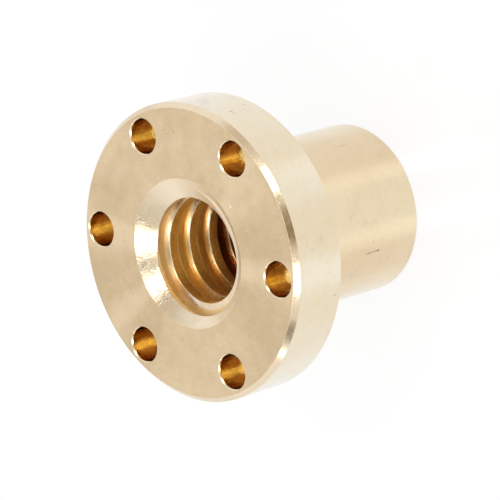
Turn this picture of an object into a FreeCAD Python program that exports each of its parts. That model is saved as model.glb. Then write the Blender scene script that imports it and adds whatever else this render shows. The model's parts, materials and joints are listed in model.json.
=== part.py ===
import FreeCAD, Part
import os

import Sketcher
from FreeCAD import Vector

# A flanged lead screw nut, turned from one bar, with a one-start right-hand trapezoidal thread.
# Origin on the axis at the end face of the barrel. +Z points out of the flange's front face,
# and +X points at one of the bolt holes.

# Driving dimensions, in millimetres and degrees

SIZES = {
    # thread
    "bore_diameter": 19.6,
    "thread_depth": 2.45,
    "thread_pitch": 5,
    "pitch_line_height": 0.95,
    "flank_angle": 15,
    "groove_start_depth": 1.2,
    # barrel
    "barrel_wall": 3.5,
    "barrel_length": 32.4,
    "barrel_edge_break": 0.4,
    "end_chamfer_relief": 0.4,
    # flange
    "flange_thickness": 11.3,
    "flange_margin": 4.75,
    "flange_rim_chamfer": 0.9,
    "flange_back_break": 0.3,
    "countersink_width": 3.85,
    "countersink_half_angle": 60,
    # bolt holes
    "bolt_circle_step": 6.75,
    "hole_diameter": 6.3,
    "hole_edge_break": 0.25,
    "hole_count": 6,
}

# Radii and heights that follow from the driving dimensions

BORE = "(dims.bore_diameter / 2)"
ROOT = f"({BORE} + dims.thread_depth)"
BARREL = f"({ROOT} + dims.barrel_wall)"
BOLT_CIRCLE = f"({BARREL} + dims.bolt_circle_step)"
RIM = f"({BOLT_CIRCLE} + dims.flange_margin)"
FRONT = "(dims.barrel_length + dims.flange_thickness)"


def origin_plane(body, role):
    """The body's own origin plane with this role."""
    return next(plane for plane in body.Origin.OriginFeatures if plane.Role == role)


def number(expression):
    """What an expression over the sheet comes to, as a plain number."""
    value = sheet.evalExpression(expression)
    return float(getattr(value, "Value", value))


def new_sketch(body, name, role):
    """An empty sketch on one of the body's origin planes."""
    sketch = body.newObject("Sketcher::SketchObject", name)
    sketch.AttachmentSupport = [(origin_plane(body, role), "")]
    sketch.MapMode = "FlatFace"
    return sketch


def add_bound(sketch, name, constraint, expression):
    """A dimension of the sketch that an expression over the sheet drives."""
    position = sketch.addConstraint(constraint)
    sketch.renameConstraint(position, name)
    sketch.setExpression(f"Constraints.{name}", expression)


def draw_outline(sketch, corners):
    """A closed outline of straight edges, each corner given by its radius and its height."""
    points = [Vector(number(radius), number(height), 0) for radius, height in corners]
    count = len(points)
    for index in range(count):
        edge = Part.LineSegment(points[index], points[(index + 1) % count])
        sketch.addGeometry(edge, False)
    for index in range(count):
        after = (index + 1) % count
        sketch.addConstraint(Sketcher.Constraint("Coincident", index, 2, after, 1))
    for index, (radius, height) in enumerate(corners):
        across = Sketcher.Constraint("DistanceX", -1, 1, index, 1, points[index].x)
        add_bound(sketch, f"radius_{index}", across, radius)
        along = Sketcher.Constraint("DistanceY", -1, 1, index, 1, points[index].y)
        add_bound(sketch, f"height_{index}", along, height)


def draw_axis(sketch, radius, height):
    """A construction line parallel to the nut's axis, for a cut that turns round a line of its own."""
    low = Vector(number(radius), 0, 0)
    high = Vector(number(radius), number(height), 0)
    line = sketch.addGeometry(Part.LineSegment(low, high), True)
    sketch.addConstraint(Sketcher.Constraint("Vertical", line))
    sketch.addConstraint(Sketcher.Constraint("PointOnObject", line, 1, -1))
    across = Sketcher.Constraint("DistanceX", -1, 1, line, 1, low.x)
    add_bound(sketch, "axis_radius", across, radius)
    along = Sketcher.Constraint("DistanceY", line, 1, line, 2, high.y)
    add_bound(sketch, "axis_length", along, height)


def turned_blank(body):
    """The outside: barrel, flange and their edge chamfers, revolved round the axis."""
    sketch = new_sketch(body, "blank_profile", "XZ_Plane")
    draw_outline(sketch, [
        ("0", "0"),
        (f"{BARREL} - dims.barrel_edge_break", "0"),
        (BARREL, "dims.barrel_edge_break"),
        (BARREL, "dims.barrel_length"),
        (f"{RIM} - dims.flange_back_break", "dims.barrel_length"),
        (RIM, "dims.barrel_length + dims.flange_back_break"),
        (RIM, f"{FRONT} - dims.flange_rim_chamfer"),
        (f"{RIM} - dims.flange_rim_chamfer", FRONT),
        ("0", FRONT),
    ])
    blank = body.newObject("PartDesign::Revolution", "turned_blank")
    blank.Profile = sketch
    blank.ReferenceAxis = (sketch, ["V_Axis"])
    blank.Angle = 360
    return blank


def drilled_bore(body):
    """The bore down to the thread's crests, right through. Its circle is drawn as two half circles."""
    sketch = new_sketch(body, "bore_circle", "XY_Plane")
    radius = number(BORE)
    circle = Part.Circle(Vector(0, 0, 0), Vector(0, 0, 1), radius)
    half_turn = FreeCAD.Units.Quantity("180 deg").getValueAs("rad").Value
    upper = sketch.addGeometry(Part.ArcOfCircle(circle, 0, half_turn), False)
    lower = sketch.addGeometry(Part.ArcOfCircle(circle, half_turn, 2 * half_turn), False)
    sketch.addConstraint(Sketcher.Constraint("Coincident", upper, 3, -1, 1))
    sketch.addConstraint(Sketcher.Constraint("Coincident", lower, 3, -1, 1))
    sketch.addConstraint(Sketcher.Constraint("Coincident", upper, 2, lower, 1))
    sketch.addConstraint(Sketcher.Constraint("Coincident", lower, 2, upper, 1))
    sketch.addConstraint(Sketcher.Constraint("PointOnObject", upper, 1, -1))
    add_bound(sketch, "radius", Sketcher.Constraint("Radius", upper, radius), BORE)
    bore = body.newObject("PartDesign::Pocket", "bore")
    bore.Profile = sketch
    bore.Type = "ThroughAll"
    bore.Reversed = True
    bore.Refine = False
    return bore


def turned_cut(body, name, corners):
    """A groove turned round the nut's axis."""
    sketch = new_sketch(body, f"{name}_profile", "XZ_Plane")
    draw_outline(sketch, corners)
    cut = body.newObject("PartDesign::Groove", name)
    cut.Profile = sketch
    cut.ReferenceAxis = (sketch, ["V_Axis"])
    cut.Angle = 360
    cut.Refine = False
    return cut


def countersink(body):
    """The wide cone at the flange's face. The cutter runs past it at both ends by the cone's own size."""
    mouth = f"({BORE} + dims.countersink_width)"
    depth = "(dims.countersink_width / tan(dims.countersink_half_angle))"
    return turned_cut(body, "countersink", [
        (f"{BORE} - dims.countersink_width", f"{FRONT} - 2 * {depth}"),
        (f"{mouth} + dims.countersink_width", f"{FRONT} + {depth}"),
        (f"{BORE} - dims.countersink_width", f"{FRONT} + {depth}"),
    ])


def end_chamfer(body):
    """A 45 degree chamfer at the barrel's end, taken to just past the thread's root."""
    size = "(dims.thread_depth + dims.end_chamfer_relief)"
    return turned_cut(body, "end_chamfer", [
        (f"{BORE} - {size}", f"-{size}"),
        (f"{BORE} + 2 * {size}", f"-{size}"),
        (f"{BORE} - {size}", f"2 * {size}"),
    ])


def bolt_holes(body):
    """One through hole with both edges broken, turned round its own axis, then repeated round the flange."""
    edge = "dims.hole_edge_break"
    wall = f"({BOLT_CIRCLE} + dims.hole_diameter / 2)"
    sketch = new_sketch(body, "bolt_hole_profile", "XZ_Plane")
    draw_outline(sketch, [
        (BOLT_CIRCLE, f"dims.barrel_length - {edge}"),
        (f"{wall} + 2 * {edge}", f"dims.barrel_length - {edge}"),
        (wall, f"dims.barrel_length + {edge}"),
        (wall, f"{FRONT} - {edge}"),
        (f"{wall} + 2 * {edge}", f"{FRONT} + {edge}"),
        (BOLT_CIRCLE, f"{FRONT} + {edge}"),
    ])
    draw_axis(sketch, BOLT_CIRCLE, FRONT)
    hole = body.newObject("PartDesign::Groove", "bolt_hole")
    hole.Profile = sketch
    hole.ReferenceAxis = (sketch, ["Axis0"])
    hole.Angle = 360
    hole.Refine = False
    doc.recompute()
    pattern = body.newObject("PartDesign::PolarPattern", "bolt_holes")
    pattern.Originals = [hole]
    pattern.Axis = (sketch, ["V_Axis"])
    pattern.Angle = 360
    pattern.setExpression("Occurrences", "dims.hole_count")
    pattern.Refine = False
    body.Tip = pattern
    return hole, pattern


def groove_half_width(radius):
    """Half the thread groove's width at a radius. At the pitch line the groove is half a pitch wide."""
    return (
        f"(dims.thread_pitch / 4"
        f" + ({BORE} + dims.pitch_line_height - {radius}) * tan(dims.flank_angle))"
    )


def thread(body):
    """The thread's groove, cut along a helix through the whole bore and out into both end cones.

    The cutter is the groove's section on the +X side, with its flanks run on inwards past the crests.
    It starts between one and two pitches below the barrel's end, so that a turn of the groove lies
    groove_start_depth below the front face at +X, and it ends above that face.
    """
    centre = f"(mod({FRONT} - dims.groove_start_depth; dims.thread_pitch) - 2 * dims.thread_pitch)"
    mouth = f"({BORE} - dims.pitch_line_height)"
    wide = groove_half_width(mouth)
    narrow = groove_half_width(ROOT)
    sketch = new_sketch(body, "groove_section", "XZ_Plane")
    draw_outline(sketch, [
        (mouth, f"{centre} - {wide}"),
        (ROOT, f"{centre} - {narrow}"),
        (ROOT, f"{centre} + {narrow}"),
        (mouth, f"{centre} + {wide}"),
    ])
    groove = body.newObject("PartDesign::SubtractiveHelix", "thread")
    groove.Profile = sketch
    groove.ReferenceAxis = (sketch, ["V_Axis"])
    groove.Mode = "pitch-height-angle"
    groove.setExpression("Pitch", "dims.thread_pitch")
    groove.setExpression("Height", f"{FRONT} + 3 * dims.thread_pitch")
    groove.Angle = 0
    groove.LeftHanded = False
    groove.Reversed = False
    groove.Refine = False
    return groove


doc = FreeCAD.newDocument("lead_screw_nut")
sheet = doc.addObject("Spreadsheet::Sheet", "dims")
for row, (alias, value) in enumerate(SIZES.items(), start=1):
    sheet.set(f"A{row}", alias)
    sheet.set(f"B{row}", str(value))
    sheet.setAlias(f"B{row}", alias)
doc.recompute()

nut = doc.addObject("PartDesign::Body", "flanged_nut")
nut.Label = "flanged_nut"
blank = turned_blank(nut)
doc.recompute()
cuts = [*bolt_holes(nut)]
doc.recompute()
for step in (drilled_bore, countersink, end_chamfer, thread):
    cuts.append(step(nut))
    doc.recompute()
nut.Placement = FreeCAD.Placement(Vector(0, 0, 0), FreeCAD.Rotation())
doc.recompute()

for item in doc.Objects:
    if "Invalid" in item.State or "Error" in item.State:
        raise RuntimeError(f"{item.Name} did not compute")
volume = blank.Shape.Volume
for cut in cuts:
    if not cut.Shape.Volume < volume:
        raise RuntimeError(f"{cut.Name} removed nothing")
    volume = cut.Shape.Volume
if nut.Shape.isNull() or not nut.Shape.isValid():
    raise RuntimeError("the nut's shape is not valid")
if len(nut.Shape.Solids) != 1:
    raise RuntimeError("the nut is not one solid")

os.makedirs("parts", exist_ok=True)
nut.Shape.exportStep(f"parts/{nut.Label}.step")
print(f"{nut.Label}: {nut.Shape.Volume:.1f} mm3, {len(nut.Shape.Faces)} faces")
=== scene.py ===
import bpy
import json
import math
from types import SimpleNamespace
from mathutils import Matrix, Vector


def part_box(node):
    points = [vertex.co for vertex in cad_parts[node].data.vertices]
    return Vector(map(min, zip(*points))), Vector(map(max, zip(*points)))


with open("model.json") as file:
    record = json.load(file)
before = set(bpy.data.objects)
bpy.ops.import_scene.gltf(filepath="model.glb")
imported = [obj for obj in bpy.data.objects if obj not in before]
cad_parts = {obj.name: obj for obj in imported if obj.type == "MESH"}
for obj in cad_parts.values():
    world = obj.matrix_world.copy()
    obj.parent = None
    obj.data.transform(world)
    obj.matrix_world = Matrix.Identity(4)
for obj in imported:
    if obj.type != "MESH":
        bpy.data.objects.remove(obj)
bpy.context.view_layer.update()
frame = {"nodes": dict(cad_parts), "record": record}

bl_info = {
    "name": "Lead Screw Nut",
    "version": (1, 0, 0),
    "blender": (4, 5, 0),
    "location": "View3D > Sidebar > Lead Screw Nut",
    "description": "Finishes a turned brass lead screw nut and sets it on a plain pale stage",
    "category": "Object",
}

# The nut's own sizes in metres, as its mounts in the record give them

MM = 0.001
MOUNTS = {mount["name"]: mount for mount in frame["record"]["mounts"]}
CREST_RADIUS = MOUNTS["screw_thread"]["dims"]["r_mm"] / 1000
BARREL_RADIUS = MOUNTS["barrel"]["dims"]["r_mm"] / 1000
BOLT_CIRCLE = MOUNTS["flange_bolts"]["dims"]["pcd_mm"] / 2000
HOLE_RADIUS = MOUNTS["flange_bolts"]["dims"]["hole_r_mm"] / 1000
HOLE_STEP = math.tau / MOUNTS["flange_bolts"]["dims"]["count"]
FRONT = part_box("flanged_nut")[1].z
RIM_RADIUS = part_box("flanged_nut")[1].x

# Sizes that no mount gives, as they follow from the part's source

RIM_CHAMFER = 0.0009
MOUTH_RADIUS = 0.01365
MOUTH_HALF_ANGLE = math.radians(60)
PITCH = 0.005
GROOVE_START = 0.0012
CREST_HALF = 0.000995

# Where the finish of one cut goes over to the next: the start and the end of each border, in
# millimetres past the surface or edge that it follows

FACE_BORDER = (-0.06, -0.02)
MOUTH_BORDER = (-0.05, 0.05)
CONE_BORDER = (-0.08, -0.03)
CHAMFER_BORDER = (-0.06, 0.0)
HOLE_BORDER = (0.10, 0.04)
FLANGE_BORDER = (2.0, 4.0)
CREST_BORDER = (0.12, 0.04)
CORNER_BORDER = (0.16, 0.08)
FLANK_BORDER = (1.35, 0.85)
ROOT_BORDER = (1.6, 2.2)

# Heights in millimetres above the barrel's end at which the thread's colour begins to change, and
# at which it has changed: painted light and shade, pale at the lip and in the first turn, then
# browner, then dark, as the light falls off down the bore

LIP_HEIGHTS = (40.6, 41.8)
SHALLOW_HEIGHTS = (35.5, 38.5)
BROWNER_HEIGHTS = (37.5, 27.5)
DARK_HEIGHTS = (28.7, 24.0)

# Painted shade on the two sides of each bolt hole where its wall lies in shade, as a turn from +X,
# and how far from the hole's middle it begins and is full, as shares of the hole's radius

HOLE_SHADE_SIDE = math.radians(112.5)
HOLE_SHADE_REACH = (0.25, 0.95)

# The side of the countersink that is left dull: the middle's turn from +X, and the cosines of the
# turns away from there at which it ends and is full

DULL_SIDE = math.radians(20)
DULL_REACH = (-0.1, 0.35)


# Expressions on shader sockets

class Signal:
    """A value in a shader. Arithmetic on it adds Math nodes to its sheet."""

    def __init__(self, sheet, socket):
        self.sheet = sheet
        self.socket = socket

    def __add__(self, other):
        return self.sheet.math("ADD", self, other)

    def __radd__(self, other):
        return self.sheet.math("ADD", other, self)

    def __sub__(self, other):
        return self.sheet.math("SUBTRACT", self, other)

    def __rsub__(self, other):
        return self.sheet.math("SUBTRACT", other, self)

    def __mul__(self, other):
        return self.sheet.math("MULTIPLY", self, other)

    def __rmul__(self, other):
        return self.sheet.math("MULTIPLY", other, self)

    def __truediv__(self, other):
        return self.sheet.math("DIVIDE", self, other)

    def __rtruediv__(self, other):
        return self.sheet.math("DIVIDE", other, self)

    def __abs__(self):
        return self.sheet.math("ABSOLUTE", self)


class Sheet:
    """A node tree and the means to add nodes to it."""

    def __init__(self, tree):
        self.tree = tree
        self.tree.nodes.clear()

    def plug(self, socket, value):
        """Links a signal to a socket, or sets the socket to a plain value."""
        if isinstance(value, Signal):
            self.tree.links.new(value.socket, socket)
        elif hasattr(socket.default_value, "__len__") and not hasattr(value, "__len__"):
            socket.default_value = [value] * len(socket.default_value)
        elif hasattr(value, "__len__") and len(value) == 3 and len(socket.default_value) == 4:
            socket.default_value = (*value, 1)
        else:
            socket.default_value = value

    def add(self, kind, settings=None, inputs=None, output=0):
        """A node of any kind, with its settings first and then its sockets' values or links."""
        node = self.tree.nodes.new(kind)
        for name, value in (settings or {}).items():
            if name == "stops":
                self.set_stops(node.color_ramp, value)
            else:
                setattr(node, name, value)
        for name, value in (inputs or {}).items():
            self.plug(node.inputs[name], value)
        return Signal(self, node.outputs[output])

    def set_stops(self, ramp, stops):
        """Colour ramp stops as pairs of a position and a grey level."""
        while len(ramp.elements) < len(stops):
            ramp.elements.new(0.5)
        for element, (position, level) in zip(ramp.elements, stops):
            element.position = position
            element.color = (level, level, level, 1)

    def math(self, operation, *values):
        return self.add("ShaderNodeMath", {"operation": operation}, dict(enumerate(values)))

    def vector(self, operation, *values):
        return self.add("ShaderNodeVectorMath", {"operation": operation}, dict(enumerate(values)))

    def dot(self, first, second):
        return self.add(
            "ShaderNodeVectorMath", {"operation": "DOT_PRODUCT"}, {0: first, 1: second}, output=1)

    def scaled(self, vector, factor):
        return self.add(
            "ShaderNodeVectorMath", {"operation": "SCALE"}, {0: vector, "Scale": factor})

    def length(self, *parts):
        """The length of a vector with these parts."""
        squares = [part * part for part in parts]
        return self.math("SQRT", sum(squares[1:], squares[0]))

    def step(self, value, low, high):
        """Rises smoothly from 0 at low to 1 at high, or falls where low is the larger."""
        ends = (0.0, 1.0) if low < high else (1.0, 0.0)
        return self.add("ShaderNodeMapRange", {"interpolation_type": "SMOOTHSTEP"}, {
            "Value": value, "From Min": min(low, high), "From Max": max(low, high),
            "To Min": ends[0], "To Max": ends[1]})

    def border(self, value, level, ends):
        """A step between two distances past a level. The distances are in millimetres."""
        return self.step(value, level + ends[0] * MM, level + ends[1] * MM)

    def blend(self, factor, first, second):
        """A colour that goes from the first to the second as the factor goes from 0 to 1."""
        return self.add(
            "ShaderNodeMix", {"data_type": "RGBA"}, {0: factor, 6: first, 7: second}, output=2)

    def split(self, vector):
        """The three parts of a vector."""
        node = self.tree.nodes.new("ShaderNodeSeparateXYZ")
        self.plug(node.inputs[0], vector)
        return [Signal(self, output) for output in node.outputs]

    def join(self, x, y, z):
        return self.add("ShaderNodeCombineXYZ", None, {"X": x, "Y": y, "Z": z})

    def noise(self, vector, scale, detail=2.0, roughness=0.5):
        """Noise about zero, with features about one over the scale across."""
        return self.add("ShaderNodeTexNoise", None, {
            "Vector": vector, "Scale": scale, "Detail": detail, "Roughness": roughness}) - 0.5

    def mix(self, factor, first, second):
        """A surface that goes from the first to the second as the factor goes from 0 to 1."""
        return self.add("ShaderNodeMixShader", None, {0: factor, 1: first, 2: second})

    def finish(self, kind, surface):
        """Ends the tree in its output node."""
        node = self.tree.nodes.new(kind)
        self.tree.links.new(surface.socket, node.inputs["Surface"])


def new_material(name):
    """A material and the sheet for its nodes."""
    material = bpy.data.materials.new(name)
    material.use_nodes = True
    return material, Sheet(material.node_tree)


# The nut's finish

def colour(name, description, default):
    return bpy.props.FloatVectorProperty(
        name=name, description=description, default=default, subtype="COLOR", size=3, min=0, max=1)


def share(name, description, default):
    return bpy.props.FloatProperty(
        name=name, description=description, default=default, subtype="FACTOR", min=0, max=1)


class NutFinish(bpy.types.PropertyGroup):
    """Colours and surface of the turned brass."""
    # Each turned surface goes between its browner and its paler colour by its painted sheen sectors
    face_colour: colour(
        "Face colour", "Brass on the faced front, in its darker sectors", (0.635, 0.475, 0.285))
    face_pale: colour(
        "Pale face colour", "Brass on the faced front, in its paler sectors", (0.80, 0.63, 0.41))
    chamfer_colour: colour(
        "Chamfer colour", "Brass on the rim's chamfer, in its browner sectors",
        (0.73, 0.55, 0.335))
    chamfer_pale: colour(
        "Pale chamfer colour", "Brass on the rim's chamfer, in its paler sectors",
        (0.78, 0.66, 0.49))
    mouth_colour: colour(
        "Countersink colour", "Brass in the countersink, in its browner sectors",
        (0.72, 0.565, 0.365))
    mouth_pale: colour(
        "Pale countersink colour", "Brass in the countersink, in its paler sectors",
        (0.81, 0.68, 0.50))
    rim_colour: colour(
        "Rim colour", "Brass on the flange's rim, in its browner sectors", (0.80, 0.665, 0.45))
    rim_pale: colour(
        "Pale rim colour", "Brass on the flange's rim, in its paler sectors", (0.83, 0.755, 0.61))
    barrel_colour: colour(
        "Barrel colour", "Brass on the barrel, in its browner sectors", (0.77, 0.595, 0.385))
    barrel_pale: colour(
        "Pale barrel colour", "Brass on the barrel, in its paler sectors", (0.83, 0.70, 0.475))
    # The thread's colours are copies of one brass with painted light and shade in the groove: paler
    # high on the flanks, amber low on them, brighter at the root, browner on the crests
    flank_colour: colour(
        "Flank colour", "Brass high on the thread's flanks, in its browner sectors",
        (0.74, 0.56, 0.37))
    # Painted highlight on the flanks, in their highlight sectors
    flank_painted_highlight: colour(
        "Pale flank colour", "Worn brass high on the thread's flanks, in its paler sectors",
        (0.98, 0.92, 0.80))
    groove_colour: colour(
        "Groove colour", "Amber brass low on the thread's flanks", (0.93, 0.62, 0.22))
    root_colour: colour(
        "Root colour", "Brighter brass at the thread's root", (1.0, 0.74, 0.33))
    crest_colour: colour(
        "Crest colour", "Duller brass on the crests of the thread", (0.89, 0.51, 0.10))
    # Painted shade down the thread
    depth_shade_tint: colour(
        "Depth tint", "How the brass darkens down the thread", (0.40, 0.20, 0.08))
    hole_colour: colour(
        "Hole colour", "Deep amber brass in the bolt holes", (0.85, 0.585, 0.20))
    # Painted shade on two sides of each bolt hole
    hole_shade_colour: colour(
        "Oil colour", "Brown of the oil that dried on two sides of each hole", (0.28, 0.10, 0.02))
    smudge_colour: colour(
        "Smudge colour", "Grey brown of the stains that handling left", (0.50, 0.42, 0.32))
    nick_colour: colour(
        "Nick colour", "Dark bottom of the pits and nicks", (0.20, 0.13, 0.06))
    ding_colour: colour(
        "Ding colour", "Bare metal in the fresh dings on the face", (0.95, 0.88, 0.78))
    face_roughness: share(
        "Face roughness", "How dull the faced front is", 0.45)
    turned_roughness: share(
        "Turned roughness", "How dull the rim and the barrel are", 0.22)
    cut_roughness: share(
        "Chamfer roughness", "How dull the chamfer and the countersink are", 0.14)
    dull_roughness: share(
        "Dull side roughness", "How dull the countersink is on its dull side", 0.45)
    groove_roughness: share(
        "Groove roughness", "How dull the low flanks and the root of the thread are", 0.4)
    crest_roughness: share(
        "Crest roughness", "How dull the crests of the thread are", 0.68)
    hole_roughness: share(
        "Hole roughness", "How dull the drilled holes are", 0.08)
    film: share(
        "Film", "How much of a clear film of oil the outside carries", 0.5)
    ring_depth: bpy.props.FloatProperty(
        name="Tool ring depth", description="Depth of the rings that the turning tool left",
        default=0.000004, min=0, max=0.0001, unit="LENGTH", precision=6)
    edge_radius: bpy.props.FloatProperty(
        name="Edge radius", description="How far the sharp edges are rounded to the eye",
        default=0.00012, min=0, max=0.001, unit="LENGTH", precision=5)


# Sectors round the axis: the middle's turn from +X and half the width, both in degrees, and the
# strength. In a tone, 1 is palest and -1 is brownest. The tables for the turned surfaces are
# painted sheen: paler and browner bands that stand in for the light that turned metal reflects

FACE_SHEEN_SECTORS = (
    (180, 11, 0.9), (-156, 17, -0.85), (-140, 9, 0.5), (-122, 13, -0.35), (-80, 30, 0.3),
    (-22, 15, -0.55), (1, 9, 0.9), (19, 14, -0.6), (45, 13, 0.8), (92, 14, 0.25), (142, 18, 0.4),
    (163, 8, -0.2),
)
RIM_SHEEN_SECTORS = (
    (-55, 30, 0.8), (-13, 9, -0.4), (3, 8, 0.5), (18, 14, -0.8), (38, 10, 0.4), (53, 8, -0.4),
    (102, 32, 0.8), (180, 60, 0.2),
)
BARREL_SHEEN_SECTORS = (
    (-56, 26, 0.5), (-19, 15, -0.9), (19, 28, 0.9), (62, 26, -0.8), (98, 20, 0.4),
    (150, 25, -0.3), (-120, 30, 0.3),
)
CHAMFER_SHEEN_SECTORS = (
    (-48, 32, 0.6), (90, 26, 0.8), (18, 30, -0.5), (62, 10, -1.0), (180, 60, 0.3),
)
MOUTH_SHEEN_SECTORS = ((105, 45, 1.0), (150, 12, 0.3), (-117, 14, -0.9), (-75, 25, 0.7))
# Painted highlights on the thread's flanks, where the soft boxes are mirrored
FLANK_HIGHLIGHT_SECTORS = ((165, 26, 0.9), (196, 26, 1.3), (252, 18, 0.5))
# Painted shade on the crests on one side of the bore
CREST_SHADE_SECTORS = ((252, 34, 0.5),)
# Grey-brown stains set round the borders of the soft boxes' highlights in the countersink, where
# they also paint the broken edges of those reflections
MOUTH_HIGHLIGHT_EDGE_STAINS = ((163, 14, 1.0), (201, 17, 1.0), (236, 10, 0.8))
RIM_SCUFFS = ((97, 20, 1.0), (-60, 16, 0.5), (-150, 30, 0.6))

# How the tone of each turned surface is made up: its painted sheen sectors, its share of the
# mottle, its share of the tool's marks, and its middle, where 0 is its browner colour and 1 its
# paler one

TONES = {
    "barrel": (BARREL_SHEEN_SECTORS, 1.2, 0.6, 0.5),
    "rim": (RIM_SHEEN_SECTORS, 1.3, 0.6, 0.5),
    "face": (FACE_SHEEN_SECTORS, 1.5, 0.5, 0.42),
    "chamfer": (CHAMFER_SHEEN_SECTORS, 1.0, 0.0, 0.5),
    "mouth": (MOUTH_SHEEN_SECTORS, 1.3, 0.6, 0.5),
}
SHEEN_SECTOR_SHARE = 0.5

# Features per metre of the noise in the metal, from clouds about a centimetre across to grit of
# about a quarter of a millimetre, and how far the tool's strokes and the hairlines are drawn out

CLOUDS = 90.0
SMUDGES = 240.0
BLOTCHES = 420.0
HAIRS = 1100.0
GRAINS = 1900.0
STROKES = 2600.0
GRITS = 3600.0
STROKE_STRETCH = 0.15
HAIR_STRETCH = 0.05
HAIR_SLANT = 0.7

# Levels of the noise at which a kind of wear begins, and at which it shows in full

STAIN_PATCHES = (-0.15, 0.1)
STAIN_SPECKS = (0.0, 0.2)
SMUDGE_PATCHES = (0.06, 0.26)
SCUFF_PATCHES = (0.03, 0.17)
HAIR_PATCHES = (0.0, 0.2)
HAIR_LINES = (0.02, 0.0)
MARK_EDGES = (1.0, 0.3)

# Shares of the clouds, the blotches and the grain in the mottle, and how strongly the wear, the
# mottle and the painted light and shade show in the colour

MOTTLE_SHARES = (0.8, 0.7, 0.45)
FLANK_MOTTLE = 0.6
BORE_MOTTLE = 0.4
CREST_GRAIN = 0.5
HOLE_BLOTCHES = 1.5
HOLE_GRAIN = 0.4
# Painted highlight lines along the corners of the crests
CORNER_PAINTED_HIGHLIGHT = 0.5
# Painted light near the mouth
SHALLOW_PAINTED_LIGHT = 0.35
BROWNER_SHARE = 0.5
HOLE_SHADE_SHARE = 0.88
STAIN_SHARE = 0.35
SMUDGE_SHARE = 0.22
SCUFF_SHARE = 0.35
SCUFF_STROKES = 0.6
HAIR_SHARE = 0.13

# What the noise and the wear do to the polish and the film of oil, and how deep they are against
# the tool's rings

FLANK_POLISH = 0.06
ROUGHNESS_NOISE = 0.2
FLANK_FILM = 0.7
BORE_FILM = 0.3
FILM_ROUGHNESS = 0.12
FLANK_RINGS = 3
BLOTCH_RELIEF = 0.8
HOLE_GRAIN_RELIEF = 5
MOUTH_GRIT_RELIEF = 8
MARK_RELIEF = 8

# Nicks, scratches and pits: the middle and the end of each mark in millimetres, half its width,
# and how dark it is

MARKS = (
    ((15.44, -3.12, 12.6), (15.42, -3.2, 13.7), 0.13, 0.75),
    ((15.45, -3.05, 11.0), (15.44, -3.11, 12.4), 0.13, 0.6),
    ((15.45, -3.05, 10.4), (15.45, -3.05, 10.8), 0.22, 0.9),
    ((15.71, -1.13, 11.8), (15.71, -1.13, 12.0), 0.25, 0.3),
    ((5.4, 14.8, 11.1), (5.12, 14.89, 11.6), 0.09, 0.5),
    ((5.66, 14.7, 9.5), (5.63, 14.71, 8.3), 0.09, 0.45),
    ((6.6, 26.44, 39.2), (6.23, 26.53, 39.35), 0.16, 0.75),
    ((7.3, 26.25, 39.0), (7.58, 26.17, 38.9), 0.14, 0.65),
    ((5.35, 26.72, 34.9), (5.4, 26.7, 35.0), 0.22, 0.5),
    ((8.85, 25.77, 33.7), (8.7, 25.8, 33.9), 0.14, 0.4),
    ((26.97, -3.93, 34.05), (26.98, -3.86, 33.6), 0.13, 0.5),
    ((-3.4, 21.73, 43.7), (-3.4, 21.8, 43.7), 0.17, 0.8),
    ((-1.26, -16.32, 43.7), (-1.1, -16.2, 43.7), 0.18, 0.6),
    ((-4.05, -16.01, 43.7), (-4.0, -15.9, 43.7), 0.14, 0.35),
    ((8.95, -12.68, 43.7), (9.0, -12.6, 43.7), 0.14, 0.35),
    ((17.2, -9.2, 43.7), (17.3, -9.1, 43.7), 0.14, 0.3),
)

# Bright dings on the face, the same way

DINGS = (
    ((10.94, 10.85, 43.7), (11.2, 10.6, 43.7), 0.22, 0.9),
    ((13.41, 11.73, 43.7), (13.6, 11.6, 43.7), 0.22, 0.4),
    ((15.06, 7.28, 43.7), (15.1, 7.2, 43.7), 0.18, 0.4),
)


def sectors(sheet, turn, table):
    """The sum of the sectors in a table, at a turn about the axis."""
    tone = 0.0
    for middle, half_width, strength in table:
        near = sheet.math("COSINE", turn - math.radians(middle))
        tone = tone + sheet.step(near, math.cos(math.radians(half_width)), 1.0) * strength
    return tone


def marks(sheet, point, table):
    """How marked a point is: up to one in the middle of a mark, and zero away from all of them."""
    total = 0.0
    for middle, end, half_width, strength in table:
        along = Vector(end) - Vector(middle)
        half_length = max(along.length, half_width)
        away = sheet.vector("SUBTRACT", point, tuple(value * MM for value in middle))
        lengthwise = sheet.dot(away, tuple(along.normalized()))
        part = lengthwise * lengthwise
        rest = sheet.dot(away, away) - part
        reach = part / (half_length * MM) ** 2 + rest / (half_width * MM) ** 2
        total = sheet.math("MAXIMUM", total, sheet.step(reach, *MARK_EDGES) * strength)
    return total


def bolt_hole(sheet, x, y, turn):
    """How far a point lies from the middle of the nearest bolt hole, and how much painted shade it
    gets.
    """
    nearest = sheet.math("ROUND", turn / HOLE_STEP) * HOLE_STEP
    across = x - sheet.math("COSINE", nearest) * BOLT_CIRCLE
    aside = y - sheet.math("SINE", nearest) * BOLT_CIRCLE
    along = abs(across * math.cos(HOLE_SHADE_SIDE) + aside * math.sin(HOLE_SHADE_SIDE)) / HOLE_RADIUS
    return sheet.length(across, aside), sheet.step(along, *HOLE_SHADE_REACH)


def thread(sheet, z, radius, turn, bore):
    """The crests of the thread and their corners, by the helix on which it was cut."""
    climb = (z - (FRONT - GROOVE_START) - turn * (PITCH / math.tau)) / PITCH
    from_groove = (climb - sheet.math("ROUND", climb)) * PITCH
    sideways = abs(from_groove) - (PITCH / 2 - CREST_HALF)
    from_corner = sheet.length(sideways, radius - CREST_RADIUS)
    crest = bore * sheet.border(radius, CREST_RADIUS, CREST_BORDER)
    return crest, bore * sheet.border(from_corner, 0, CORNER_BORDER)


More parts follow.
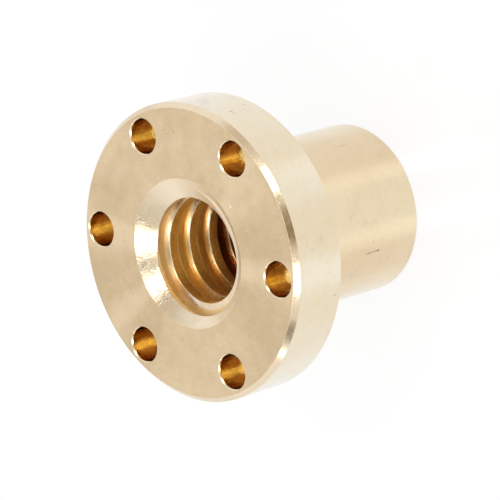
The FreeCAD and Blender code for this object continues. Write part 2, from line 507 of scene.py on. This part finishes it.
def cuts(sheet, point):
    """The place of a point on the nut, and how far it lies on each cut's surface, from 0 to 1."""
    x, y, z = sheet.split(point)
    radius = sheet.length(x, y)
    turn = sheet.math("ARCTAN2", y, x)
    from_hole, shaded_sides = bolt_hole(sheet, x, y, turn)

    # The outside, from the face over the chamfer to the rim, with the bolt holes
    outside = sheet.border(radius, MOUTH_RADIUS, MOUTH_BORDER)
    face = sheet.border(z, FRONT, FACE_BORDER) * outside
    hole = sheet.border(from_hole, HOLE_RADIUS, HOLE_BORDER) * (1 - face) * outside
    slope = RIM_RADIUS + FRONT - RIM_CHAMFER
    chamfer = sheet.border(radius + z, slope, CHAMFER_BORDER) * (1 - face)
    flange = sheet.border(radius, BARREL_RADIUS, FLANGE_BORDER)
    rim = flange * (1 - face) * (1 - chamfer) * (1 - hole)

    # The countersink's cone and the bore below it
    cone = FRONT - (MOUTH_RADIUS - radius) / math.tan(MOUTH_HALF_ANGLE)
    mouth = sheet.border(z - cone, 0, CONE_BORDER) * (1 - outside)
    bore = (1 - outside) * (1 - mouth)
    lip = sheet.border(z, 0, LIP_HEIGHTS) * bore
    dull = sheet.step(sheet.math("COSINE", turn - DULL_SIDE), *DULL_REACH) * (mouth + lip)

    # The thread, from its crests down to its root
    crest, corner = thread(sheet, z, radius, turn, bore)
    flank = bore * (1 - crest) * sheet.border(radius, CREST_RADIUS, FLANK_BORDER)
    root = bore * sheet.border(radius, CREST_RADIUS, ROOT_BORDER)
    return SimpleNamespace(
        x=x, y=y, z=z, radius=radius, turn=turn, face=face, hole=hole, shaded_sides=shaded_sides,
        chamfer=chamfer, rim=rim, mouth=mouth, bore=bore, lip=lip, dull=dull, crest=crest,
        corner=corner, flank=flank, root=root, band=bore - crest - flank - root,
        # Where the painted shade down the bore is full, away from the flanks
        deep=sheet.border(z, 0, DARK_HEIGHTS) * bore * (1 - flank))


def texture(sheet, point, cut):
    """Clouds, blotches and grain in the metal, and the marks of the tool round the axis."""
    cloud = sheet.noise(point, CLOUDS)
    blotch = sheet.noise(point, BLOTCHES, detail=3.0, roughness=0.6)
    grain = sheet.noise(point, GRAINS)
    drawn_out = sheet.join(cut.x * STROKE_STRETCH, cut.y * STROKE_STRETCH, cut.z)
    strokes = sheet.noise(drawn_out, STROKES)
    outwards = sheet.join(cut.radius, 0.0, 0.0)
    rings = sheet.noise(outwards, STROKES, detail=3.0, roughness=0.6)
    cloudy, blotchy, grainy = MOTTLE_SHARES
    return SimpleNamespace(
        cloud=cloud, blotch=blotch, grain=grain, grit=sheet.noise(point, GRITS, detail=1.0),
        strokes=strokes, tool=strokes + cut.face * (rings - strokes),
        mottle=cloud * cloudy + blotch * blotchy + grain * grainy)


def turned_colour(sheet, cut, metal, finish, name):
    """The colour of one turned surface, between its browner and its paler one, with painted sheen.
    """
    table, mottled, tooled, middle = TONES[name]
    tone = sectors(sheet, cut.turn, table) * SHEEN_SECTOR_SHARE
    tone = tone + metal.mottle * mottled + metal.tool * tooled + middle
    brown, pale = getattr(finish, f"{name}_colour"), getattr(finish, f"{name}_pale")
    return sheet.blend(tone, brown, pale)


def bore_colour(sheet, cut, metal, finish, base):
    """Lays the thread over a colour: painted light and shade in its grooves, flanks, crests and
    depths.
    """
    base = sheet.blend(cut.bore, base, finish.groove_colour)
    base = sheet.blend(cut.root, base, finish.root_colour)
    # Painted highlights on the flanks, by sector
    flank_highlight_tone = sectors(sheet, cut.turn, FLANK_HIGHLIGHT_SECTORS) + metal.mottle * FLANK_MOTTLE
    flank = sheet.blend(flank_highlight_tone, finish.flank_colour, finish.flank_painted_highlight)
    shallow = sheet.border(cut.z, 0, SHALLOW_HEIGHTS) * cut.bore
    # Painted highlight lines on the crests' corners and painted light near the mouth, in the
    # flanks' paler colour
    base = sheet.blend(
        cut.flank + cut.corner * CORNER_PAINTED_HIGHLIGHT + shallow * SHALLOW_PAINTED_LIGHT, base, flank)
    base = sheet.blend(cut.crest * (1 - cut.corner), base, finish.crest_colour)
    # Painted light at the lip, in the countersink's paler colour
    base = sheet.blend(cut.lip, base, finish.mouth_pale)
    # Painted shade: browner, then dark down the bore, and on some crests
    browner = cut.band * sheet.border(cut.z, 0, BROWNER_HEIGHTS) * BROWNER_SHARE
    tinted = cut.deep + browner + cut.crest * sectors(sheet, cut.turn, CREST_SHADE_SECTORS)
    return sheet.blend(tinted, base, sheet.vector("MULTIPLY", base, finish.depth_shade_tint))


def worn_colour(sheet, point, cut, metal, finish, base):
    """Lays stains, smudges, scuffs and hairlines over a colour, with specks that paint broken
    highlight edges.
    """
    patches = sheet.step(metal.blotch + metal.cloud, *STAIN_PATCHES)
    specks = sheet.step(metal.grit + metal.grain, *STAIN_SPECKS)
    # Stains that also paint the broken edges of the countersink's highlights
    stains_at_highlight_edges = cut.mouth * patches * specks * sectors(sheet, cut.turn, MOUTH_HIGHLIGHT_EDGE_STAINS)
    patchy = cut.bore * metal.mottle * BORE_MOTTLE
    patchy = patchy + cut.crest * (metal.grain + metal.strokes) * CREST_GRAIN
    patchy = patchy + cut.hole * (metal.blotch * HOLE_BLOTCHES + metal.grain * HOLE_GRAIN)
    base = sheet.scaled(base, 1 + patchy - stains_at_highlight_edges * STAIN_SHARE)

    handled = sheet.noise(point, SMUDGES, detail=4.0, roughness=0.65)
    smudged = sheet.step(handled, *SMUDGE_PATCHES) * (1 - cut.bore) * (1 - cut.hole)
    scuffed = sheet.step(metal.blotch + metal.strokes * SCUFF_STROKES, *SCUFF_PATCHES)
    scuffed = scuffed * cut.rim * sectors(sheet, cut.turn, RIM_SCUFFS)
    base = sheet.blend(
        smudged * SMUDGE_SHARE + scuffed * SCUFF_SHARE, base, finish.smudge_colour)

    slanted = cut.x + cut.y * HAIR_SLANT
    drawn_out = (cut.y - cut.x * HAIR_SLANT) * HAIR_STRETCH
    lines = sheet.noise(sheet.join(slanted, drawn_out, 0.0), HAIRS)
    hairs = sheet.step(abs(lines), *HAIR_LINES)
    hairs = hairs * sheet.step(metal.cloud + metal.blotch, *HAIR_PATCHES) * cut.face
    return sheet.scaled(base, 1 - hairs * HAIR_SHARE)


def polish(cut, metal, finish):
    """How rough each surface is."""
    turned = finish.turned_roughness
    rough = turned + cut.face * (finish.face_roughness - turned)
    rough = rough + (cut.chamfer + cut.mouth) * (finish.cut_roughness - turned)
    rough = rough + cut.dull * (finish.dull_roughness - finish.cut_roughness)
    rough = rough + cut.crest * (finish.crest_roughness - turned) - cut.flank * FLANK_POLISH
    rough = rough + (cut.bore - cut.crest) * (1 - cut.flank) * (finish.groove_roughness - turned)
    rough = rough + cut.hole * (finish.hole_roughness - turned)
    return rough + (metal.blotch + metal.grain) * ROUGHNESS_NOISE * (1 - cut.hole)


def oil_film(cut, finish):
    """How much of a clear film of oil each surface carries."""
    outside = (1 - cut.bore) * (1 - cut.hole) * (1 - cut.dull) * finish.film
    return outside + (cut.flank * FLANK_FILM + cut.bore * BORE_FILM) * (1 - cut.deep)


def relief(sheet, cut, metal, finish, worn):
    """The tool's rings, the grain and the nicks, over edges that are rounded to the eye."""
    height = metal.tool * (1 + cut.flank * FLANK_RINGS + cut.mouth)
    height = height + metal.blotch * BLOTCH_RELIEF
    height = height + metal.grain * (1 - cut.bore + cut.hole * HOLE_GRAIN_RELIEF)
    height = height + metal.grit * (1 + cut.mouth * MOUTH_GRIT_RELIEF)
    height = height - worn * MARK_RELIEF
    rounded = sheet.add("ShaderNodeBevel", {"samples": 6}, {"Radius": finish.edge_radius})
    return sheet.add("ShaderNodeBump", None, {
        "Strength": 1.0, "Distance": finish.ring_depth, "Height": height, "Normal": rounded})


def brass(finish):
    """Turned brass for the whole nut, with each cut of the tool in its own colour and polish."""
    material, sheet = new_material("bearing_brass_turned")
    point = sheet.add("ShaderNodeTexCoord", output="Object")
    cut = cuts(sheet, point)
    metal = texture(sheet, point, cut)
    base = turned_colour(sheet, cut, metal, finish, "barrel")
    for name in ("rim", "face", "chamfer", "mouth"):
        tint = turned_colour(sheet, cut, metal, finish, name)
        base = sheet.blend(getattr(cut, name), base, tint)
    base = bore_colour(sheet, cut, metal, finish, base)
    base = sheet.blend(cut.hole, base, finish.hole_colour)
    # Painted shade on two sides of each bolt hole
    base = sheet.blend(cut.hole * cut.shaded_sides * HOLE_SHADE_SHARE, base, finish.hole_shade_colour)
    base = worn_colour(sheet, point, cut, metal, finish, base)
    worn = marks(sheet, point, MARKS)
    base = sheet.blend(worn, base, finish.nick_colour)
    base = sheet.blend(marks(sheet, point, DINGS), base, finish.ding_colour)
    sheet.finish("ShaderNodeOutputMaterial", sheet.add("ShaderNodeBsdfPrincipled", None, {
        "Base Color": base,
        "Metallic": 1.0,
        "Roughness": polish(cut, metal, finish),
        "Normal": relief(sheet, cut, metal, finish, worn),
        "Coat Weight": oil_film(cut, finish),
        "Coat Roughness": FILM_ROUGHNESS,
    }))
    return material


class LEADNUT_OT_flanged_nut(bpy.types.Operator):
    """Give the turned nut its brass"""
    bl_idname = "leadnut.flanged_nut"
    bl_label = "Finish the Nut"

    def execute(self, context):
        nut = frame["nodes"]["flanged_nut"]
        nut.material_slots[0].material = brass(context.scene.nut_finish)
        return {"FINISHED"}


# The stage

WHITE = (1.0, 1.0, 1.0)
FLOOR_SIZE = 6
FLOOR_PAINT = (0.9, 0.9, 0.9)
FLOOR_SHINE_ROUGHNESS = 0.12

# Half the tent's brightness, by the sine of the height above the floor
TENT_LEVELS = ((0.0, 0.59), (0.42, 0.59), (0.68, 0.50), (0.83, 0.43), (0.98, 0.485))

# Round patches of the tent: the azimuth and the elevation of the middle, and the radii within
# which the patch is full and beyond which it has faded out, all in degrees, and its colour
# against the tent's
TENT_PATCHES = (
    (22.5, 45, 5, 14, (0.45, 0.38, 0.29)),
    (-56, 31, 3, 9, (0.42, 0.40, 0.37)),
    (98, 33, 4, 16, (0.80, 0.80, 0.80)),
    (-71, 25, 1, 3, (4.0, 4.2, 4.5)),
)

# Smoked screens near the floor's edge, the same way, each with what it lets through
SCREENS = (
    (52, -2, 5, 15, (0.42, 0.36, 0.28)),
    (-2, -2, 4, 13, (0.50, 0.44, 0.36)),
    (-150, -2, 5, 14, (0.45, 0.40, 0.32)),
    (-52, -2, 2, 10, (0.60, 0.54, 0.46)),
)
SCREEN_DISTANCE = 2.9

# Soft boxes: the directions of the two ends as azimuth and elevation, and the width in metres
SOFT_BOXES = {
    "soft_box_left": ((58, 38), (92, 74), 0.14),
    "soft_box_right": ((-17, 38), (-62, 74), 0.155),
}
SOFT_BOX_DISTANCE = 0.6
SOFT_BOX_AIM = Vector((0, 0, FRONT - 0.005))


class StudioStage(bpy.types.PropertyGroup):
    """The floor, the lamps and the camera."""
    floor_level: bpy.props.FloatProperty(
        name="Floor level",
        description="How much of the floor's white is its own, so that its shadow stays soft",
        default=0.85, min=0, max=1, subtype="FACTOR")
    floor_shine: bpy.props.FloatProperty(
        name="Floor shine", description="How much the floor mirrors the lamps",
        default=0.035, min=0, max=1, subtype="FACTOR")
    tent_level: bpy.props.FloatProperty(
        name="Tent level", description="Brightness of the white tent round the nut",
        default=0.92, min=0, max=3)
    lamp_level: bpy.props.FloatProperty(
        name="Lamp level", description="Brightness of the two soft boxes",
        default=5.1, min=0, max=20)
    focal_length: bpy.props.FloatProperty(
        name="Focal length", description="Focal length of the camera",
        default=242.43, min=20, max=600, unit="CAMERA")
    distance: bpy.props.FloatProperty(
        name="Distance", description="From the camera to the point that it looks at",
        default=0.59852, min=0.1, max=3, unit="LENGTH")
    azimuth: bpy.props.FloatProperty(
        name="Azimuth", description="Turn of the camera round the nut's axis, from +X",
        default=math.radians(22.536), subtype="ANGLE", unit="ROTATION")
    elevation: bpy.props.FloatProperty(
        name="Elevation", description="Angle of the camera above the floor",
        default=math.radians(42.874), subtype="ANGLE", unit="ROTATION")
    roll: bpy.props.FloatProperty(
        name="Roll",
        description="Turn of the camera about its own axis, which lays the nut on its side",
        default=math.radians(-105.725), subtype="ANGLE", unit="ROTATION")
    target: bpy.props.FloatVectorProperty(
        name="Target", description="Point that the camera looks at",
        default=(0.0078, 0.00067, 0.03566), subtype="TRANSLATION", size=3, unit="LENGTH")


def towards(azimuth, elevation):
    """The unit vector at an azimuth from +X and an elevation, in degrees."""
    azimuth, elevation = math.radians(azimuth), math.radians(elevation)
    return Vector((
        math.cos(azimuth) * math.cos(elevation),
        math.sin(azimuth) * math.cos(elevation),
        math.sin(elevation)))


def patch(sheet, near, inner, outer):
    """One within the inner radius of a patch and zero beyond the outer one, by a cosine."""
    return sheet.step(near, math.cos(math.radians(outer)), math.cos(math.radians(inner)))


def floor(stage):
    """A pale floor, far wider than the nut, that keeps part of its shadow and shines a little."""
    bpy.ops.object.select_all(action="DESELECT")
    bpy.ops.mesh.primitive_plane_add(size=FLOOR_SIZE, location=(0, 0, 0))
    ground = bpy.context.object
    ground.name = "floor"
    material, sheet = new_material("floor_white")
    x, y, z = sheet.split(sheet.add("ShaderNodeTexCoord", output="Object"))
    lit = sheet.step(sheet.length(x, y), BARREL_RADIUS - MM, BARREL_RADIUS)
    seen = 0.0
    for ray in ("Is Camera Ray", "Is Glossy Ray", "Is Transmission Ray"):
        seen = sheet.math("MAXIMUM", seen, sheet.add("ShaderNodeLightPath", output=ray))
    paint = sheet.add("ShaderNodeBsdfDiffuse", None, {"Color": FLOOR_PAINT})
    glow = sheet.add("ShaderNodeEmission", None, {"Color": WHITE, "Strength": 1.0})
    shine = sheet.add(
        "ShaderNodeBsdfAnisotropic", None, {"Color": WHITE, "Roughness": FLOOR_SHINE_ROUGHNESS})
    white = sheet.mix(seen * lit * stage.floor_level, paint, glow)
    sheet.finish("ShaderNodeOutputMaterial", sheet.mix(stage.floor_shine, white, shine))
    ground.data.materials.append(material)


def screens():
    """Round screens that darken the foot of the tent in the metal. The camera looks past them."""
    for number, (azimuth, elevation, inner, outer, tint) in enumerate(SCREENS, start=1):
        place = towards(azimuth, elevation) * SCREEN_DISTANCE
        bpy.ops.object.select_all(action="DESELECT")
        bpy.ops.mesh.primitive_circle_add(
            vertices=64, radius=SCREEN_DISTANCE * math.tan(math.radians(outer)),
            fill_type="NGON", location=place, rotation=place.to_track_quat("Z", "Y").to_euler())
        screen = bpy.context.object
        screen.name = f"screen_{number}"
        screen.visible_camera = False
        material, sheet = new_material(screen.name)
        x, y, z = sheet.split(sheet.add("ShaderNodeTexCoord", output="Object"))
        near = SCREEN_DISTANCE / sheet.length(x, y, SCREEN_DISTANCE)
        clear = sheet.add("ShaderNodeBsdfTransparent", None, {"Color": WHITE})
        smoked = sheet.add("ShaderNodeBsdfTransparent", None, {"Color": tint})
        smoke = patch(sheet, near, inner, outer)
        sheet.finish("ShaderNodeOutputMaterial", sheet.mix(smoke, clear, smoked))
        screen.data.materials.append(material)


def tent(stage):
    """A white surround, brighter low down, with a dark opening for the camera and a few patches."""
    world = bpy.data.worlds.new("tent")
    bpy.context.scene.world = world
    world.use_nodes = True
    sheet = Sheet(world.node_tree)
    way = sheet.add("ShaderNodeTexCoord", output="Generated")
    height = sheet.split(way)[2]
    light = sheet.add("ShaderNodeValToRGB", {"stops": TENT_LEVELS}, {"Fac": height})
    for azimuth, elevation, inner, outer, tint in TENT_PATCHES:
        near = sheet.dot(way, tuple(towards(azimuth, elevation)))
        tinted = sheet.vector("MULTIPLY", light, tint)
        light = sheet.blend(patch(sheet, near, inner, outer), light, tinted)
    sheet.finish("ShaderNodeOutputWorld", sheet.add(
        "ShaderNodeBackground", None, {"Color": light, "Strength": 2 * stage.tent_level}))


def soft_box(name, low, high, width, level):
    """A long soft box that reaches from one direction to another as seen from the nut."""
    start = towards(*low) * SOFT_BOX_DISTANCE
    end = towards(*high) * SOFT_BOX_DISTANCE
    middle = (start + end) / 2
    lamp = bpy.data.lights.new(name, "AREA")
    lamp.shape = "RECTANGLE"
    lamp.size = (end - start).length
    lamp.size_y = width
    lamp.energy = level * lamp.size * lamp.size_y * math.pi
    box = bpy.data.objects.new(name, lamp)
    bpy.context.scene.collection.objects.link(box)
    along = (end - start).normalized()
    aside = middle.normalized().cross(along).normalized()
    turn = Matrix((along, aside, along.cross(aside))).transposed().to_4x4()
    box.matrix_world = Matrix.Translation(middle + SOFT_BOX_AIM) @ turn
    box.visible_camera = False


def camera(stage):
    """The camera at the photograph's angle, rolled so that the standing nut lies on its side."""
    data = bpy.data.cameras.new("camera")
    data.lens = stage.focal_length
    data.sensor_width = 36
    eye = bpy.data.objects.new("camera", data)
    bpy.context.scene.collection.objects.link(eye)
    back = towards(math.degrees(stage.azimuth), math.degrees(stage.elevation))
    up = (Vector((0, 0, 1)) - back * back.z).normalized()
    level = Matrix((up.cross(back), up, back)).transposed().to_4x4()
    place = Vector(stage.target) + back * stage.distance
    eye.matrix_world = Matrix.Translation(place) @ level @ Matrix.Rotation(stage.roll, 4, "Z")
    bpy.context.scene.camera = eye


class LEADNUT_OT_stage(bpy.types.Operator):
    """Lay the floor, set the lamps and aim the camera"""
    bl_idname = "leadnut.stage"
    bl_label = "Set the Stage"

    def execute(self, context):
        stage = context.scene.nut_stage
        context.scene.view_settings.view_transform = "Standard"
        floor(stage)
        tent(stage)
        screens()
        for name, (low, high, width) in SOFT_BOXES.items():
            soft_box(name, low, high, width, stage.lamp_level)
        camera(stage)
        return {"FINISHED"}


class LEADNUT_PT_panel(bpy.types.Panel):
    """Lists the nut's finish and its stage"""
    bl_label = "Lead Screw Nut"
    bl_idname = "LEADNUT_PT_panel"
    bl_space_type = "VIEW_3D"
    bl_region_type = "UI"
    bl_category = "Lead Screw Nut"

    def draw(self, context):
        for title, group, operator in (
            ("Nut", context.scene.nut_finish, LEADNUT_OT_flanged_nut),
            ("Stage", context.scene.nut_stage, LEADNUT_OT_stage),
        ):
            box = self.layout.box()
            box.label(text=title)
            for name in group.bl_rna.properties.keys():
                if name not in ("rna_type", "name"):
                    box.prop(group, name)
            box.operator(operator.bl_idname)


CLASSES = (
    NutFinish, StudioStage, LEADNUT_OT_flanged_nut, LEADNUT_OT_stage, LEADNUT_PT_panel,
)


def register():
    for item in CLASSES:
        bpy.utils.register_class(item)
    bpy.types.Scene.nut_finish = bpy.props.PointerProperty(type=NutFinish)
    bpy.types.Scene.nut_stage = bpy.props.PointerProperty(type=StudioStage)


def unregister():
    del bpy.types.Scene.nut_stage
    del bpy.types.Scene.nut_finish
    for item in reversed(CLASSES):
        bpy.utils.unregister_class(item)


def main():
    """Finishes the nut and sets the stage."""
    register()
    bpy.ops.leadnut.flanged_nut()
    bpy.ops.leadnut.stage()


if __name__ == "__main__":
    main()
